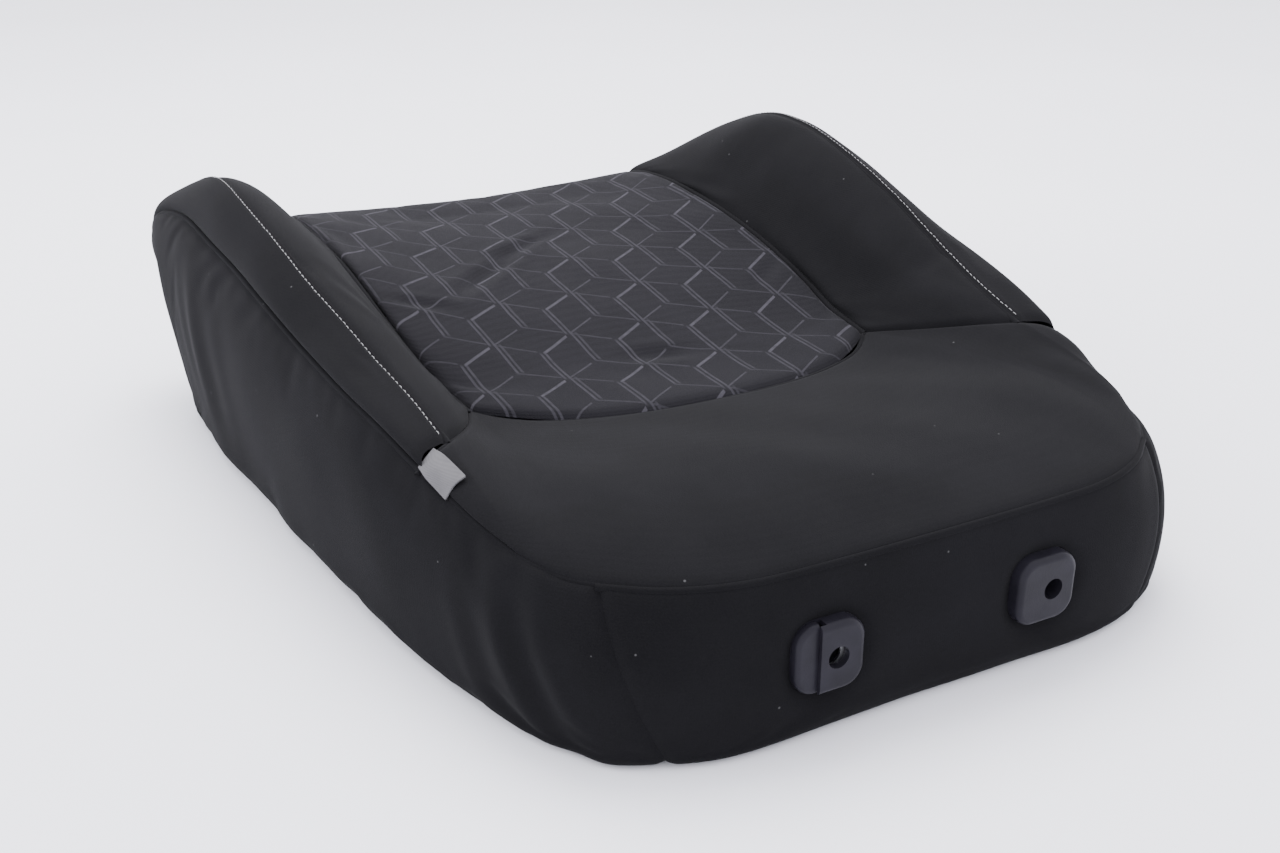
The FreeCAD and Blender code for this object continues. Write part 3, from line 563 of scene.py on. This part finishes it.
def plastic_material(name, colour, roughness, grain=900.0, depth=0.00012, gloss=0.4):
    """Moulded plastic with a fine grain and a slightly uneven gloss."""
    n = Nodes(name)
    n.set(Specular_IOR_Level=gloss)
    place = n.place()
    speck = n.noise(place, grain, 3.0)
    tint = tuple(c * 1.35 for c in colour)
    n.link(n.mix(n.ramp(n.noise(place, 60.0, 3.0), 0.35, 0.65), colour, tint),
           n.shader.inputs["Base Color"])
    n.link(n.ramp(n.noise(place, 220.0, 2.0), 0.3, 0.7, roughness - 0.06, roughness + 0.08),
           n.shader.inputs["Roughness"])
    n.bump(speck, 0.5, depth)
    return n.material


def metal_material(name, colour, roughness, metallic=1.0):
    """Steel, plated or painted, with faint stains."""
    n = Nodes(name)
    place = n.place()
    n.set(Metallic=metallic)
    darker = tuple(c * 0.72 for c in colour)
    n.link(n.mix(n.ramp(n.noise(place, 40.0, 5.0, 0.65), 0.35, 0.7), colour, darker),
           n.shader.inputs["Base Color"])
    n.link(n.ramp(n.noise(place, 150.0, 4.0), 0.3, 0.7, roughness - 0.08, roughness + 0.12),
           n.shader.inputs["Roughness"])
    n.bump(n.noise(place, 500.0, 2.0), 0.25, 0.0001)
    return n.material


def thread_material():
    """Light grey twisted thread."""
    n = Nodes("light_thread")
    twist = n.ramp(n.noise(n.place(), 2500.0, 1.0), 0.3, 0.7)
    n.link(n.mix(twist, (0.13, 0.13, 0.13), (0.22, 0.22, 0.215)), n.shader.inputs["Base Color"])
    n.set(Roughness=0.7, Sheen_Weight=0.2)
    return n.material


def label_material():
    """Grey woven tape, a little stained."""
    n = Nodes("label_cloth")
    place = n.place()
    weave = n.knit(place, 0.0008)
    stain = n.ramp(n.noise(place, 120.0, 4.0), 0.3, 0.75)
    tone = n.math("ADD", n.math("MULTIPLY", weave, 0.5), n.math("MULTIPLY", stain, 0.5))
    n.link(n.mix(tone, (0.057, 0.055, 0.059), (0.084, 0.081, 0.086)), n.shader.inputs["Base Color"])
    n.set(Roughness=0.8)
    n.bump(weave, 0.5, 0.0003)
    return n.material


MATERIALS = {
    "insert_cloth": insert_material(),
    "black_cloth": cloth_material("black_cloth", (0.0038, 0.0037, 0.0043),
                                  (0.0082, 0.0080, 0.0090), lint=0.15),
    "facing_cloth": cloth_material("facing_cloth", (0.0034, 0.0033, 0.0038),
                                   (0.0072, 0.0070, 0.0080), 0.0014, 0.02, lint=0.15),
    "flap_cloth": cloth_material("flap_cloth", (0.011, 0.011, 0.011), (0.022, 0.022, 0.022), 0.0024, 0.1),
    "label_cloth": label_material(),
    "foam": cloth_material("foam", (0.45, 0.43, 0.33), (0.62, 0.60, 0.48), 0.002, 0.0),
    "bag_cloth": cloth_material("bag_cloth", (0.42, 0.42, 0.40), (0.55, 0.55, 0.52), 0.0009, 0.0),
    "panel_plastic": plastic_material("panel_plastic", (0.016, 0.016, 0.017), 0.5, 500.0, 0.0003),
    "sleeve_plastic": plastic_material("sleeve_plastic", (0.0088, 0.0082, 0.0112), 0.34, gloss=0.09),
    "clip_plastic": plastic_material("clip_plastic", (0.50, 0.50, 0.47), 0.4),
    "frame_paint": metal_material("frame_paint", (0.014, 0.014, 0.015), 0.38, 0.0),
    "bright_steel": metal_material("bright_steel", (0.52, 0.52, 0.53), 0.32),
    "wire_steel": metal_material("wire_steel", (0.40, 0.40, 0.41), 0.4),
}
THREAD = thread_material()


def dress_cad_nodes():
    """Gives every node of the frame its finish."""
    for part in frame["record"]["subparts"]:
        node = frame["nodes"][part["node"]]
        node.data.materials.clear()
        node.data.materials.append(MATERIALS[part["material_slot"]])


# ---------------------------------------------------------------- cover panels
def side_name(side):
    """Side is 1 for the occupant's right and -1 for the left, here and below."""
    return "right" if side > 0 else "left"


def make_insert():
    """Middle panel: bowed head seam, dished between its side seams."""
    rows, cols = 110, 70
    right = smooth(INSERT, rows)
    left = mirrored(right)
    s = across(cols)[None, :, None]
    grid = left[:, None, :] * (1 - s) + right[:, None, :] * s
    u = 2 * s[0, :, 0] - 1          # -1 at the left seam, 1 at the right
    t = np.linspace(0, 1, rows)     # 0 at the head seam, 1 at the tail
    bow = INSERT_BOW * np.clip(1 - t / 0.5, 0, 1) ** 1.6
    grid[:, :, 1] -= bow[:, None] * (1 - np.abs(u) ** 2.9)[None, :]
    dish = np.interp(t, (0, 0.15, 0.55, 0.8, 0.93, 1), (2.0, 7, 15, 15, 7, 0))
    grid[:, :, 2] -= dish[:, None] * (1 - np.abs(u) ** 2.3)[None, :]
    grid = inflate(grid, UP, "insert")
    normal = outward(grid, UP)
    grid = ripple(grid, normal, "insert")
    for start, end, depth, width in INSERT_CREASES:
        grid = crease(grid, normal, (0, 1), start, end, depth, width)
    sides = SEAM_DEPTH + 1.2
    grid = sink_seams(grid, normal, {"a": sides, "b": sides, "start": SEAM_DEPTH})
    piece = grid_piece("insert_cushion_cover", grid, UP, "insert_cloth")
    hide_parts("insert_panel", "foam_pad")


def make_inner_bolster(side):
    """Flank that rises from the insert seam to the crest seam."""
    rows, cols = 100, 36
    low, high = smooth(INSERT, rows), smooth(CREST, rows)
    grid = arch(low, high, *np.array(INNER_SLOPES), cols)
    # The first row follows the head panel's seam, and the rows behind it ease off
    fine = 400
    seam = resample(smooth(HEAD_FLANK[::-1], 200), fine)
    s = across(cols)
    target = np.stack([np.interp(s, np.linspace(0, 1, fine), seam[:, k]) for k in range(3)], axis=1)
    shift = target - grid[0]
    t = np.linspace(0, 1, rows)
    grid += shift[None, :, :] * (np.clip(1 - t / 0.22, 0, 1) ** 2)[:, None, None]
    grid = inflate(grid, INNER_FACING, "inner")
    normal = outward(grid, INNER_FACING)
    grid = ripple(grid, normal, "inner", side)
    for start, end, depth, width in FLANK_CREASES[side]:
        grid = crease(grid, normal, (0, 1), start, end, depth, width)
    depths = {"a": SEAM_DEPTH + 1.5, "b": CREST_DEPTH, "start": SEAM_DEPTH}
    grid = sink_seams(grid, normal, depths)
    name = side_name(side)
    flip = np.array((side, 1, 1))
    piece = grid_piece("bolster_inner_cover_" + name, grid * flip, flip * INNER_FACING,
                       "black_cloth")
    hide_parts("bolster_inner_" + name)


def make_outer_bolster(side):
    """Outside of the bolster, between crest seam and side seam."""
    rows, cols = 100, 30
    high, low = smooth(CREST, rows), smooth(SIDE_SEAM, rows)
    grid = arch(high, low, *np.array(OUTER_SLOPES), cols)
    grid = inflate(grid, OUTER_FACING, "outer")
    normal = outward(grid, OUTER_FACING)
    grid = ripple(grid, normal, "outer", side)
    # A low ridge beside the crest seam, where its allowance lies under the cloth
    over = run_length(grid, 1)
    grid = grid + normal * (0.8 * np.exp(-((over - 4.0) / 2.2) ** 2))[:, :, None]
    grid = sink_seams(grid, normal, {"a": CREST_DEPTH, "b": SEAM_DEPTH, "start": SEAM_DEPTH})
    name = side_name(side)
    flip = np.array((side, 1, 1))
    piece = grid_piece("bolster_outer_cover_" + name, grid * flip, flip * OUTER_FACING,
                       "black_cloth")
    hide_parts("bolster_outer_" + name)
    normal = outward(grid, OUTER_FACING)
    path, ups = beside_seam(grid, normal, STITCH_INSET, STITCH_LIFT)
    shown = slice(1, -8)
    make_stitches("crest_stitches_" + name, path[shown] * flip, ups[shown] * flip)


def head_rails():
    """Inner and outer edges of the head panel, level with each other, right end to left end."""
    samples = (16, 24, 42)
    outer = (CORNER_SEAM[:1:-1], CORNER_SEAM[2::-1], END_SEAM[::-1])
    inner = (HEAD_BOLSTER, HEAD_FLANK, HEAD_BOW)
    halves = (joined([smooth(points, count) for points, count in zip(rails, samples)])
              for rails in (inner, outer))
    return [right_to_left(half) for half in halves]


def make_head_panel():
    """Panel across the head end; returns its grid, for the label that lies on it."""
    inner, outer = head_rails()
    chord = outer - inner
    chord = chord / np.maximum(np.linalg.norm(chord, axis=1, keepdims=True), 1e-6)
    grid = arch(inner, outer, chord + (0, 0, 0.12), chord - (0, 0, 0.34), 46)
    grid = inflate(grid, UP, "head")
    normal = outward(grid, UP)
    grid = ripple(grid, normal, "head")
    for start, end, depth, width in HEAD_CREASES:
        grid = crease(grid, normal, (0, 1), start, end, depth, width)
    grid = sink_seams(grid, normal, {"a": SEAM_DEPTH, "b": SEAM_DEPTH})
    piece = grid_piece("head_cover", grid, UP, "black_cloth")
    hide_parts("head_panel")
    return grid


def facing_grid(top, foot, rows_down, bulge, first, last=None):
    """Upright cloth between a seam and the floor, rounded under at its foot.

    The cloth faces the way given at its first and last upright, where neighbours meet.
    Bulge is how far it swells at the top and the foot, as shares of its height.
    """
    along = np.gradient(foot, axis=0)
    out = np.stack([along[:, 1], -along[:, 0], np.zeros(len(foot))], axis=1)
    out /= np.maximum(np.linalg.norm(out, axis=1, keepdims=True), 1e-6)
    if (out * foot * (1, 1, 0)).sum() < 0:
        out = -out
    blend = np.clip(1 - np.arange(len(out)) / 8.0, 0, 1)[:, None]
    out = out * (1 - blend) + np.array(first) * blend
    if last is not None:
        out = out * (1 - blend[::-1]) + np.array(last) * blend[::-1]
    lifted = foot + (0, 0, SKIRT_R)
    down = lifted - top
    down = down / np.linalg.norm(down, axis=1, keepdims=True)
    grid = arch(top, lifted, down + out * bulge[0], down - out * bulge[1], rows_down)
    under = []
    for turn in np.linspace(0.2, 1, 6) * math.pi / 2:
        height = SKIRT_Z + SKIRT_R * (1 - math.sin(turn))
        under.append(foot - out * SKIRT_R * (1 - math.cos(turn)) + (0, 0, height))
    for inset in (SKIRT_R + 8, SKIRT_UNDER):
        under.append(foot - out * inset + (0, 0, SKIRT_Z))
    return np.concatenate([grid, np.stack(under, axis=1)], axis=1)


def make_end_facing():
    """Head end, held flat behind the bezels of the two guide sleeves."""
    top, foot = (left_to_right(half) for half in paired(END_SEAM, END_FOOT, 60))
    corner = np.abs(top[:, :1] / END_SEAM[-1][0]) ** 4
    bulge = (0.15 + 0.4 * corner, 0.08 + 0.3 * corner)
    grid = facing_grid(top, foot, 38, bulge, mirrored(CORNER_OUT), CORNER_OUT)
    grid = inflate(grid, HEADWARD, "end")
    normal = outward(grid, HEADWARD)
    grid = ripple(grid, normal, "end")
    for node in ("guide_sleeve_left", "guide_sleeve_right"):
        low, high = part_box(node)
        centre = np.array(((low[0] + high[0]) / 2, 0, (low[2] + high[2]) / 2)) / MM
        off = np.hypot(grid[:, :, 0] - centre[0], grid[:, :, 2] - centre[2])
        near = np.exp(-(np.maximum(off - SLEEVE_FLAT_R, 0) / SLEEVE_EASE) ** 2)
        face = np.abs(grid[:, :, 1] + 335) < 12     # not the part turned under
        grid[:, :, 1] += near * face * (END_FACE_Y - grid[:, :, 1])
    grid = sink_seams(grid, normal, {"a": SEAM_DEPTH, "start": SEAM_DEPTH, "end": SEAM_DEPTH})
    grid[:, :, 2] = np.maximum(grid[:, :, 2], FLOOR_CLEAR)
    piece = grid_piece("end_cover", grid, HEADWARD, "facing_cloth")
    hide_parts("end_facing")


def make_side_facing(side):
    """Side of the backrest from the end facing round the corner to the tail.

    Returns its first upright row, for the tape behind the seam with the end facing.
    """
    corner = paired(CORNER_SEAM, CORNER_FOOT, 40)
    flank = paired(SIDE_SEAM, SIDE_FOOT, 110)
    top, foot = (joined(rails) for rails in zip(corner, flank))
    near = np.clip(1 - np.arange(len(foot)) / 45.0, 0, 1)[:, None] ** 1.5
    grid = facing_grid(top, foot, 38, (0.34 + 0.21 * near, 0.06 + 0.32 * near), CORNER_OUT)
    grid = inflate(grid, SIDE_FACING, "side")
    normal = outward(grid, SIDE_FACING)
    grid = ripple(grid, normal, "side", side)
    for start, end, depth, width in SIDE_CREASES[side]:
        grid = crease(grid, normal, (1, 2), start, end, depth, width)
    grid = sink_seams(grid, normal, {"a": SEAM_DEPTH, "start": SEAM_DEPTH})
    grid[:, :, 2] = np.maximum(grid[:, :, 2], FLOOR_CLEAR)
    name = side_name(side)
    flip = np.array((side, 1, 1))
    piece = grid_piece("side_cover_" + name, grid * flip, flip * SIDE_FACING, "facing_cloth")
    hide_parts("side_facing_" + name)
    return grid[0] * flip


def make_tail_flap():
    """Closing cloth at the lower end, in widths that leave the brackets free."""
    upright = smooth([(0, y, z) for y, z in TAIL_EDGE], 30)
    line = np.vstack([TAIL_UNDER, upright])
    # Over the slots, only the part out of the brackets' reach and above the recline axis
    clear = line[np.hypot(line[:, 1] - PIVOT[0], line[:, 2] - PIVOT[1]) > BRACKET_REACH]
    clear = clear[clear[:, 2] > PIVOT[1]]
    spans = [(-SLOT_X[0], SLOT_X[0], 70, line)]
    for side in (1, -1):
        near, far, edge = side * SLOT_X[0], side * SLOT_X[1], side * FLAP_HALF
        spans.append((min(far, edge), max(far, edge), 8, line))
        spans.append((min(near, far), max(near, far), 8, clear))
    points, faces = [], []
    for x0, x1, cols, shown in spans:
        start, rows = len(points), len(shown)
        for x in np.linspace(x0, x1, cols):
            for _, y, z in shown:
                sag = 1.2 * math.sin(x / 23.0) * math.exp(-((z - 50) / 40) ** 2)
                points.append((x, y + sag, z))
        faces += [tuple(start + k for k in face) for face in grid_faces(cols, rows, True)]
    mesh = new_mesh("tail_cover", np.array(points), faces)
    piece = cover_piece("tail_cover", mesh, MATERIALS["flap_cloth"])
    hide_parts("tail_flap")


# ---------------------------------------------------------------- seams and stitches
def tube_along(name, path, radius):
    """A thin round strip that follows a seam, such as a welt or a tape."""
    curve = bpy.data.curves.new(name, "CURVE")
    curve.dimensions = "3D"
    curve.bevel_depth = radius * MM
    curve.bevel_resolution = 2
    spline = curve.splines.new("POLY")
    spline.points.add(len(path) - 1)
    for point, at in zip(spline.points, path):
        point.co = (*(at * MM), 1)
    cover_piece(name, curve, MATERIALS["facing_cloth"])


def make_seam_tapes(uprights):
    """Folded seam allowance that closes the bottom of each seam, and the flap's hem."""
    sunk = {"crest": (CREST, (0, 0, -3.4), TAPE_R), "insert": (INSERT, (1.6, 0, -4.1), INSERT_TAPE_R),
            "side": (SIDE_SEAM, (-2.6, 0, -2.6), TAPE_R),
            "corner": (CORNER_SEAM, (-2.4, 1.6, -2.8), TAPE_R)}
    for side in (1, -1):
        for label, (points, shift, radius) in sunk.items():
            path = smooth(points, 120) + shift
            tail_end = path[np.argmax(path[:, 1])]
            if label != "corner":
                path = path[np.linalg.norm(path - tail_end, axis=1) > TAPE_STOP]
            path = path * (side, 1, 1)
            tube_along(f"{label}_seam_tape_{side_name(side)}", path, radius)
        upright = uprights[side][2:-2] + (-2.2 * side, 2.4, 0)
        tube_along("upright_seam_tape_" + side_name(side), upright, TAPE_R)
    tube_along("tail_hem", right_to_left(smooth(TAIL_HEM, 60)), HEM_R)
    tube_along("end_seam_tape", left_to_right(smooth(END_SEAM, 80)) + (0, 2.2, -3.0), TAPE_R)
    inner, _ = head_rails()
    tube_along("head_seam_tape", inner - (0, 0, 4.0), TAPE_R)


def one_stitch():
    """A stitch along X: a plump thread that dives at both ends."""
    points, faces = [], []
    for i in range(STITCH_RINGS):
        u = i / (STITCH_RINGS - 1)
        r = STITCH_R * math.sin(math.pi * (0.12 + 0.76 * u)) ** 0.5
        lift = 0.35 * math.sin(math.pi * u) - 0.25
        for k in range(STITCH_SIDES):
            a = 2 * math.pi * k / STITCH_SIDES
            points.append(((u - 0.5) * STITCH_LENGTH, r * math.cos(a), lift + r * math.sin(a)))
    for i in range(STITCH_RINGS - 1):
        for k in range(STITCH_SIDES):
            a, b = i * STITCH_SIDES + k, i * STITCH_SIDES + (k + 1) % STITCH_SIDES
            faces.append((a, b, b + STITCH_SIDES, a + STITCH_SIDES))
    return np.array(points), faces


def beside_seam(grid, normal, distance, lift):
    """Line on a panel at a set distance from its first edge, with the normals along it."""
    over = run_length(grid, 1)

    def pick(field):
        return np.array([[np.interp(distance, o, f[:, k]) for k in range(3)]
                         for o, f in zip(over, field)])

    up = pick(normal)
    return pick(grid) + up * lift, up


def make_stitches(name, path, ups):
    """A row of separate stitches along a path, each tilted a little of its own."""
    shape, shape_faces = one_stitch()
    length = np.linalg.norm(np.diff(path, axis=0), axis=1).sum()
    line = resample(path, int(length / STITCH_PITCH) + 1)
    ups = ups[np.linspace(0, len(ups) - 1, len(line)).astype(int)]
    rng = np.random.default_rng(7)
    points, faces = [], []
    for i in range(len(line) - 1):
        along = line[i + 1] - line[i]
        along /= np.linalg.norm(along)
        side = np.cross(ups[i], along)
        side /= np.linalg.norm(side)
        along = along + side * rng.normal(0, STITCH_TURN)
        top = np.cross(along, side)
        at = (line[i] + line[i + 1]) / 2 + side * rng.normal(0, STITCH_STRAY)
        points.append(at + shape[:, :1] * along + shape[:, 1:2] * side + shape[:, 2:] * top)
        faces += [tuple(i * len(shape) + k for k in f) for f in shape_faces]
    cover_piece(name, new_mesh(name, np.vstack(points), faces), THREAD)


# ---------------------------------------------------------------- label
def make_label(head_grid):
    """Folded woven label sewn into the left side seam, lying on the head panel."""
    a, b, c, d = np.array(LABEL_CORNERS, float)
    s, t = np.meshgrid(np.linspace(0, 1, 24), np.linspace(0, 1, 16))
    s, t = s[:, :, None], t[:, :, None]
    grid = (a * (1 - s) + b * s) * (1 - t) + (d * (1 - s) + c * s) * t
    normal = outward(head_grid, UP).reshape(-1, 3)
    points = head_grid.reshape(-1, 3)
    lift = np.zeros_like(grid)
    for spot in np.ndindex(grid.shape[:2]):
        nearest = np.argmin(((points - grid[spot]) ** 2).sum(axis=1))
        height = (grid[spot] - points[nearest]) @ normal[nearest]
        bend = LABEL_LIFT + LABEL_CURL * s[spot][0] ** 2
        lift[spot] = normal[nearest] * (bend - height)
    for _ in range(12):     # evens out the steps between one nearest point and the next
        wide = np.pad(lift, ((1, 1), (1, 1), (0, 0)), mode="edge")
        lift = (wide[:-2, 1:-1] + wide[2:, 1:-1] + wide[1:-1, :-2] + wide[1:-1, 2:] + lift) / 5
    grid += lift
    piece = grid_piece("side_label", grid, (-1, 0, 1), "label_cloth")
    solid = piece.modifiers.new("thickness", "SOLIDIFY")
    solid.thickness = LABEL_THICK
    solid.offset = 0
    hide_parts("airbag_tag")


# ---------------------------------------------------------------- stage, light, camera
def make_floor():
    """Pale studio floor, slightly uneven in tone."""
    mesh = bpy.data.meshes.new("floor")
    mesh.from_pydata([(x * FLOOR_HALF, y * FLOOR_HALF, 0) for x, y in ((-1, -1), (1, -1), (1, 1), (-1, 1))],
                     [], [(0, 1, 2, 3)])
    n = Nodes("floor")
    cloud = n.ramp(n.noise(n.place(), 1.5, 3.0), 0.3, 0.7)
    n.link(n.mix(cloud, (0.84, 0.84, 0.88), (0.87, 0.87, 0.91)), n.shader.inputs["Base Color"])
    n.set(Roughness=0.7)
    mesh.materials.append(n.material)
    new_object("floor", mesh)


def area_light(name, place, target, size, power, colour):
    """Round lamp at a place, in metres, turned to its target."""
    data = bpy.data.lights.new(name, "AREA")
    data.shape = "DISK"
    data.size = size
    data.energy = power
    data.color = colour
    lamp = new_object(name, data)
    lamp.location = place
    lamp.rotation_mode = "QUATERNION"
    lamp.rotation_quaternion = (Vector(target) - Vector(place)).to_track_quat("-Z", "Y")


def make_light():
    """Bright even surround, a soft lamp overhead and a cooler one at the left."""
    world = bpy.data.worlds.new("studio")
    bpy.context.scene.world = world
    world.use_nodes = True
    surround = world.node_tree.nodes["Background"]
    surround.inputs["Color"].default_value = (0.93, 0.93, 1.0, 1)
    surround.inputs["Strength"].default_value = WORLD_STRENGTH
    area_light("overhead", (0.3, 0.9, 2.4), (0, 0, 0), 1.8, 90, (1, 1, 1))
    area_light("window", (-2.2, 0.6, 1.3), (0, 0, 0.1), 1.4, 32, (0.93, 0.96, 1))


def make_camera():
    """Looks down over the head end from the occupant's left."""
    data = bpy.data.cameras.new("camera")
    data.lens = LENS
    data.sensor_width = SENSOR_WIDTH
    camera = new_object("camera", data)
    camera.location = CAMERA_AT
    heading, pitch, roll = (math.radians(angle) for angle in CAMERA_TURN)
    ahead = Vector((math.sin(heading) * math.cos(pitch), math.cos(heading) * math.cos(pitch),
                    -math.sin(pitch)))
    camera.rotation_mode = "QUATERNION"
    camera.rotation_quaternion = Quaternion(ahead, roll) @ ahead.to_track_quat("-Z", "Y")
    bpy.context.scene.camera = camera


make_camera()
make_light()
make_floor()
dress_cad_nodes()
make_insert()
uprights = {}
for side in (1, -1):
    make_inner_bolster(side)
    make_outer_bolster(side)
    uprights[side] = make_side_facing(side)
head_grid = make_head_panel()
make_end_facing()
make_tail_flap()
make_label(head_grid)
make_seam_tapes(uprights)

bpy.context.view_layer.update()
